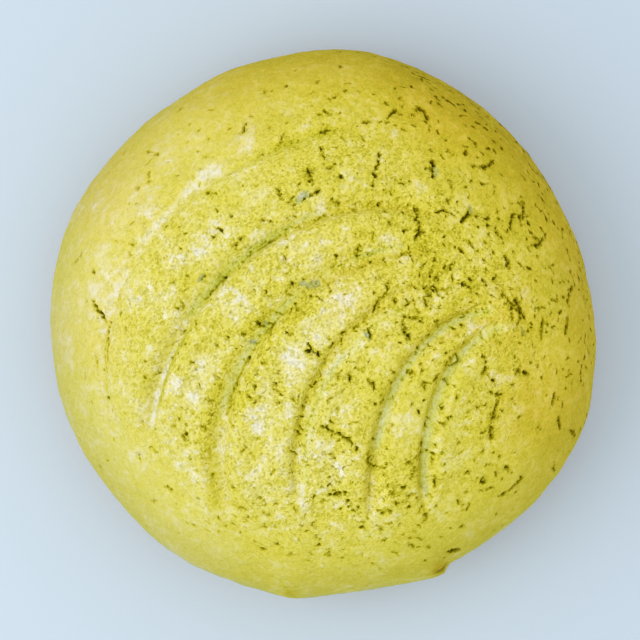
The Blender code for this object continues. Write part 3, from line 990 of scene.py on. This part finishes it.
def make_crust(material):
    cracks = all_cracks()
    gaps = all_gaps()
    directions, triangles = sphere_triangles(FIRST_SUBDIVISIONS)
    directions, triangles = refine(directions, triangles, lambda at: wanted_edge(at, cracks + gaps))
    a, theta, outer = crust_place(directions)
    points = roll_face(a, theta)
    arcs, across, arc_sugar, tint, crease = groove_fields(points)
    moved = ragged(points)
    inside, cut = crack_fields(moved, cracks, CRACK_FIELD)
    inside_gap, gap_cut = crack_fields(moved, gaps, CRACK_FIELD)
    cut = np.maximum(cut, gap_cut)
    to_edge = np.clip((crust_edge(theta) - a) / EDGE_ROUNDING, 0, 1)
    full = np.sqrt(1 - (1 - to_edge) ** 2)
    thickness = crust_thickness(a, theta)
    relief = arcs - cut + unevenness(points) + tear_relief(a, theta)
    outer_offset = relief * full - thickness / 2 * (1 - full)
    inner_offset = -thickness + thickness / 2 * (1 - full)
    normal, _, _ = roll_frame(a, theta)
    offset = np.where(outer, outer_offset, inner_offset)
    crust = mesh_object("sugar_crust", points + normal * offset[:, None], triangles, material)
    give_attribute(crust, "crack", inside)
    give_attribute(crust, "gap", inside_gap)
    give_attribute(crust, "across", across)
    give_attribute(crust, "crease", crease)
    bare = hills(points, BARE_SPOTS) * np.clip(1 - np.abs(a - BARE_PLACE) / BARE_REACH, 0, 1)
    rim = np.clip((a - 0.80) / 0.16, 0, 1) * np.clip((1.16 - a) / 0.14, 0, 1)
    # Low rim paler and greener: partly paler crust, partly painted reflection of the pale floor
    low_rim = rim * np.exp(-(((np.degrees(theta) + 270) % 360 - 175) / 48) ** 2)
    give_attribute(crust, "sugar", dust_field(points) + arc_sugar + LOW_RIM_SUGAR_AND_REFLECTION * low_rim - BARE_SUGAR * bare)
    give_attribute(crust, "tint", tint - gold_field(points) + low_rim - bare)
    give_attribute(crust, "mottle", mottle_field(points))
    # Painted light and shade on the crust's colour
    give_attribute(crust, "painted_light", painted_light_field(points))
    print("crust:", len(triangles), "triangles,", len(cracks), "cracks")
    return crust


def make_bread(material):
    """Bread below the crust, which swells out under the crust's edge."""
    bm = bmesh.new()
    bmesh.ops.create_uvsphere(bm, u_segments=BREAD_SEGMENTS, v_segments=BREAD_RINGS, radius=1)
    bmesh.ops.triangulate(bm, faces=bm.faces[:])
    directions = np.array([v.co.normalized()[:] for v in bm.verts])
    triangles = np.array([[v.index for v in face.verts] for face in bm.faces])
    bm.free()
    theta = np.arctan2(directions[:, 1], directions[:, 0])
    row = np.arccos(np.clip(directions[:, 2], -1, 1)) / math.pi
    edge = crust_edge(theta)
    rows = (0, 0.3, 0.45, 0.82, 1)
    a = np.array([np.interp(r, rows, (0, e, e + BUN_BULGE_SPAN, 2, 3)) for r, e in zip(row, edge)])
    below = np.clip((a - edge) / BUN_BULGE_SPAN, 0, 1)
    under_crust = crust_thickness(a, theta) + BUN_GAP
    inset = under_crust + (BUN_BULGE - under_crust) * below
    points = roll_face(a, theta)
    normal, _, _ = roll_frame(a, theta)
    moved = points - normal * inset[:, None]
    at_base = np.clip((a - 1.6) / 0.4, 0, 1)[:, None]
    moved = moved * (1 - at_base) + points * at_base
    moved[:, 2] = np.where(a >= 2, 0, moved[:, 2])
    bread = mesh_object("baked_bread", moved, triangles, material)
    give_attribute(bread, "bake", np.interp(a - edge, BAKE_PLACES, BAKE_SHARES))
    return bread


def linear(red, green, blue):
    """Colour given as 0 to 255 display values, as the shader wants it."""
    def one(value):
        value /= 255
        return value / 12.92 if value <= 0.04045 else ((value + 0.055) / 1.055) ** 2.4
    return one(red), one(green), one(blue), 1.0


class Nodes:
    """Short ways to lay out a material's nodes."""

    def __init__(self, name):
        self.material = bpy.data.materials.new(name)
        self.material.use_nodes = True
        self.tree = self.material.node_tree
        self.shader = self.tree.nodes["Principled BSDF"]
        self.coords = self.tree.nodes.new("ShaderNodeTexCoord").outputs["Object"]

    def link(self, source, socket):
        if hasattr(source, "is_linked"):
            self.tree.links.new(source, socket)
        else:
            socket.default_value = source

    def noise(self, size_mm, detail=2.0, roughness=0.5, shift=0.0):
        node = self.tree.nodes.new("ShaderNodeTexNoise")
        node.noise_dimensions = "4D"
        node.inputs["W"].default_value = shift
        node.inputs["Scale"].default_value = 1 / (size_mm * MM)
        node.inputs["Detail"].default_value = detail
        node.inputs["Roughness"].default_value = roughness
        self.tree.links.new(self.coords, node.inputs["Vector"])
        return node.outputs["Fac"]

    def network(self, size_mm, bend_mm, half_width):
        """1 on the bent lines between cells of this size, 0 elsewhere; the half width is a share of it."""
        bend = self.tree.nodes.new("ShaderNodeTexNoise")
        bend.inputs["Scale"].default_value = 2 / (size_mm * MM)
        bend.inputs["Detail"].default_value = 3
        self.tree.links.new(self.coords, bend.inputs["Vector"])
        shift = self.tree.nodes.new("ShaderNodeVectorMath")
        shift.operation = "MULTIPLY_ADD"
        self.tree.links.new(bend.outputs["Color"], shift.inputs[0])
        shift.inputs[1].default_value = (bend_mm * MM,) * 3
        self.tree.links.new(self.coords, shift.inputs[2])
        cells = self.tree.nodes.new("ShaderNodeTexVoronoi")
        cells.feature = "DISTANCE_TO_EDGE"
        cells.inputs["Scale"].default_value = 1 / (size_mm * MM)
        self.tree.links.new(shift.outputs[0], cells.inputs["Vector"])
        return self.ramp(cells.outputs["Distance"], half_width, half_width * 0.3)

    def cells(self, size_mm):
        """One even random value for each cell of this size."""
        node = self.tree.nodes.new("ShaderNodeTexVoronoi")
        node.inputs["Scale"].default_value = 1 / (size_mm * MM)
        self.tree.links.new(self.coords, node.inputs["Vector"])
        return node.outputs["Color"]

    def colour_ramp(self, value, stops):
        node = self.tree.nodes.new("ShaderNodeValToRGB")
        self.link(value, node.inputs["Fac"])
        ramp = node.color_ramp
        while len(ramp.elements) < len(stops):
            ramp.elements.new(0.5)
        for element, (place, colour) in zip(ramp.elements, stops):
            element.position = place
            element.color = linear(*colour)
        return node.outputs["Color"]

    def attribute(self, name):
        node = self.tree.nodes.new("ShaderNodeAttribute")
        node.attribute_name = name
        return node.outputs["Fac"]

    def ramp(self, value, low, high, start=0.0, end=1.0):
        node = self.tree.nodes.new("ShaderNodeMapRange")
        node.interpolation_type = "SMOOTHSTEP"
        self.link(value, node.inputs["Value"])
        node.inputs["From Min"].default_value = low
        node.inputs["From Max"].default_value = high
        node.inputs["To Min"].default_value = start
        node.inputs["To Max"].default_value = end
        return node.outputs["Result"]

    def band(self, value, low, high, soft):
        """1 between low and high, falling to 0 over the soft width outside them."""
        rise = self.ramp(value, low - soft, low)
        fall = self.ramp(value, high, high + soft, 1.0, 0.0)
        return self.math("MULTIPLY", rise, fall)

    def math(self, kind, first, second):
        node = self.tree.nodes.new("ShaderNodeMath")
        node.operation = kind
        self.link(first, node.inputs[0])
        self.link(second, node.inputs[1])
        return node.outputs[0]

    def add(self, *values):
        total = values[0]
        for value in values[1:]:
            total = self.math("ADD", total, value)
        return total

    def times(self, *values):
        total = values[0]
        for value in values[1:]:
            total = self.math("MULTIPLY", total, value)
        return total

    def mix(self, share, first, second, blend="MIX"):
        node = self.tree.nodes.new("ShaderNodeMix")
        node.data_type = "RGBA"
        node.blend_type = blend
        self.link(share, node.inputs[0])
        self.link(first, node.inputs[6])
        self.link(second, node.inputs[7])
        return node.outputs[2]

    def bump(self, height, distance_mm, strength=1.0, normal=None):
        node = self.tree.nodes.new("ShaderNodeBump")
        node.inputs["Strength"].default_value = strength
        node.inputs["Distance"].default_value = distance_mm * MM
        self.link(height, node.inputs["Height"])
        if normal is not None:
            self.tree.links.new(normal, node.inputs["Normal"])
        return node.outputs["Normal"]


def sugar_material():
    n = Nodes("matcha_sugar_crust")
    grain = n.add(n.times(n.noise(0.35, 1, 0.8, 3.0), 0.5), n.times(n.cells(0.42), 0.5))
    speck = n.add(n.times(n.noise(0.8, 1, 0.8, 5.0), 0.6), n.times(n.cells(0.75), 0.4))
    crumb = n.noise(2.0, 1, 0.8, 7.0)
    broad = n.noise(6.0, 1, 0.6, 11.0)
    level = n.attribute("sugar")
    mottle = n.attribute("mottle")
    baked = n.attribute("tint")
    calm = n.times(mottle, mottle)
    fine = n.times(n.add(n.times(grain, 0.50), n.times(speck, 0.25), -0.375), calm)
    swing = n.add(n.times(crumb, 0.85), n.times(broad, 0.70), -0.80)
    swing = n.add(n.times(n.math("MAXIMUM", swing, 0.0), 1.75), n.times(n.math("MINIMUM", swing, 0.0), 0.55))
    coarse = n.times(swing, n.ramp(level, 0.25, 0.85, 0.7, 1.4), n.ramp(baked, 0.0, 0.9, 1.0, 0.3))
    mottling = n.add(fine, n.times(coarse, mottle))
    broken = n.ramp(speck, 0.3, 0.6, 0.5, 1.0)

    jagged = n.add(n.attribute("crack"), n.times(n.add(n.noise(0.45, 2, 0.6, 13.0), -0.5), 0.7))
    # Thin halo along the cracks' edges: painted shade from inside the cracks
    crack_edge_shade = n.times(n.ramp(jagged, -0.42, 0.0), broken)
    hairline_place = n.times(n.ramp(crumb, 0.47, 0.54), n.ramp(speck, 0.50, 0.42), n.ramp(broad, 0.4, 0.6, 0.4, 1.0))
    hairlines = n.times(n.network(3.0, 1.8, 0.045), hairline_place, calm)
    valleys = n.times(n.network(6.5, 4.0, 0.16), n.ramp(crumb, 0.4, 0.55, 0.2, 1.0), calm)
    flecks = n.times(n.ramp(n.noise(0.8, 1, 0.7, 23.0), 0.63, 0.67), n.ramp(broad, 0.58, 0.46), calm)
    gap = n.ramp(n.add(n.attribute("gap"), n.times(n.add(speck, -0.5), 0.3)), -0.06, 0.12)
    level = n.add(level, n.times(gap, 0.22))
    lines = n.add(n.times(crack_edge_shade, -0.26), n.times(hairlines, -0.42), n.times(valleys, -0.04), n.times(flecks, -0.18))
    sugar = n.add(level, mottling, n.times(lines, n.ramp(gap, 0.0, 1.0, 1.0, 0.3)))
    # Inside the cracks the colour darkens: painted shade, partly the browned crust of their walls
    crack_shade = n.ramp(jagged, -0.08, 0.20)
    wavering = n.add(n.attribute("across"), n.times(n.add(crumb, -0.5), 1.0))
    # Painted shade along the crease at the foot of the walls, broken here and there
    crease_break = n.ramp(n.noise(1.6, 2, 0.6, 17.0), 0.36, 0.50, 0.35, 1.0)
    crease = n.times(n.band(wavering, -0.18, 0.12, 0.17), n.attribute("crease"), crease_break)
    sugar = n.times(sugar, n.add(1.0, n.times(crack_shade, -0.86)), n.add(1.0, n.times(crease, -0.8)))

    colour = n.colour_ramp(sugar, CRUST_COLOURS)
    tint = n.add(baked, n.times(gap, 0.6))
    colour = n.mix(n.times(n.ramp(tint, 0.0, -1.0), broken), colour, GOLDEN_TINT, "MULTIPLY")
    colour = n.mix(n.ramp(tint, 0.0, 1.0), colour, GREEN_TINT, "MULTIPLY")
    # Deep in the wider cracks the colour goes towards black: painted shade
    colour = n.mix(n.ramp(jagged, 0.10, 0.34, 0.0, 0.42), colour, (0, 0, 0, 1))
    colour = n.mix(gap, colour, GAP_TINT, "MULTIPLY")
    # Grain-sized painted shade and highlight, and then the painted light of the whole crust, multiplied into the
    # colour
    shade = n.times(n.add(n.times(grain, 0.85), n.times(speck, 0.15), -0.5), calm)
    shade = n.add(n.times(n.math("MAXIMUM", shade, 0.0), 0.38), n.times(n.math("MINIMUM", shade, 0.0), 1.25))
    colour = n.mix(1.0, colour, n.add(n.attribute("painted_light"), shade), "MULTIPLY")
    n.link(colour, n.shader.inputs["Base Color"])
    n.shader.inputs["Roughness"].default_value = 0.9
    n.shader.inputs["Specular IOR Level"].default_value = 0.05
    lumps = n.bump(crumb, 0.35, 0.8)
    crumbs = n.bump(speck, 0.15, 0.9, lumps)
    n.link(n.bump(grain, 0.08, 0.9, crumbs), n.shader.inputs["Normal"])
    return n.material


def bread_material():
    n = Nodes("golden_bread_crust")
    patches = n.times(n.add(n.noise(9.0, 3, 0.6, 4.0), -0.5), 0.9)
    pores = n.noise(0.9, 2, 0.7, 6.0)
    bake = n.add(n.attribute("bake"), patches, n.times(n.add(pores, -0.5), 0.35))
    colour = n.colour_ramp(bake, BREAD_COLOURS)
    n.link(n.mix(n.ramp(pores, 0.36, 0.28, 0.0, 0.35), colour, linear(112, 62, 22)), n.shader.inputs["Base Color"])
    n.shader.inputs["Roughness"].default_value = 0.6
    n.shader.inputs["Specular IOR Level"].default_value = 0.3
    wrinkles = n.bump(n.noise(3.2, 3, 0.6, 8.0), 0.35, 0.6)
    n.link(n.bump(pores, 0.12, 0.7, wrinkles), n.shader.inputs["Normal"])
    return n.material


def floor_material():
    n = Nodes("pale_table")
    n.shader.inputs["Base Color"].default_value = linear(201, 216, 230)
    n.shader.inputs["Roughness"].default_value = 0.9
    n.shader.inputs["Specular IOR Level"].default_value = 0.1
    return n.material


def make_floor():
    bm = bmesh.new()
    bmesh.ops.create_grid(bm, x_segments=1, y_segments=1, size=1.5)
    mesh = bpy.data.meshes.new("floor")
    bm.to_mesh(mesh)
    bm.free()
    mesh.materials.append(floor_material())
    floor = bpy.data.objects.new("floor", mesh)
    bpy.context.scene.collection.objects.link(floor)


def make_camera():
    camera = bpy.data.cameras.new("camera")
    camera.sensor_width = SENSOR
    camera.lens = SENSOR * EYE_HEIGHT / (PIXEL * PICTURE_WIDTH)
    camera.clip_start = 0.01
    eye = bpy.data.objects.new("camera", camera)
    middle_x, middle_y = outline_middle()
    eye.location = (
        (PICTURE_MIDDLE[0] - middle_x) * MM,
        (PICTURE_MIDDLE[1] - middle_y) * MM,
        (WAIST + EYE_HEIGHT) * MM,
    )
    bpy.context.scene.collection.objects.link(eye)
    bpy.context.scene.camera = eye


def make_lights():
    world = bpy.data.worlds.new("soft_surround")
    world.use_nodes = True
    world.node_tree.nodes["Background"].inputs["Color"].default_value = (0.97, 0.985, 1.0, 1)
    world.node_tree.nodes["Background"].inputs["Strength"].default_value = 0.93
    bpy.context.scene.world = world
    light = bpy.data.lights.new("window", "AREA")
    light.shape = "DISK"
    light.size = 0.45
    light.energy = 0.80
    light.color = (1.0, 0.98, 0.95)
    lamp = bpy.data.objects.new("window", light)
    place = Vector((-0.34, -0.08, 0.38))
    lamp.location = place
    lamp.rotation_euler = place.to_track_quat("Z", "Y").to_euler()
    bpy.context.scene.collection.objects.link(lamp)


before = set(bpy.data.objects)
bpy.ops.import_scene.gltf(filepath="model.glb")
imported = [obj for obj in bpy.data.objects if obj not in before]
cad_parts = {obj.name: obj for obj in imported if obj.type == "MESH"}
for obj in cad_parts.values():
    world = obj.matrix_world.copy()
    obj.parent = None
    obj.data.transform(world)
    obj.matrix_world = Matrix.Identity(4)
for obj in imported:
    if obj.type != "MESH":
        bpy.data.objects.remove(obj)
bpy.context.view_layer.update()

crust = make_crust(sugar_material())
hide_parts("topping")
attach(crust, "root")

bread = make_bread(bread_material())
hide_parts("bun")
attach(bread, "root")

make_floor()
make_camera()
make_lights()
bpy.context.scene.view_settings.view_transform = "Standard"
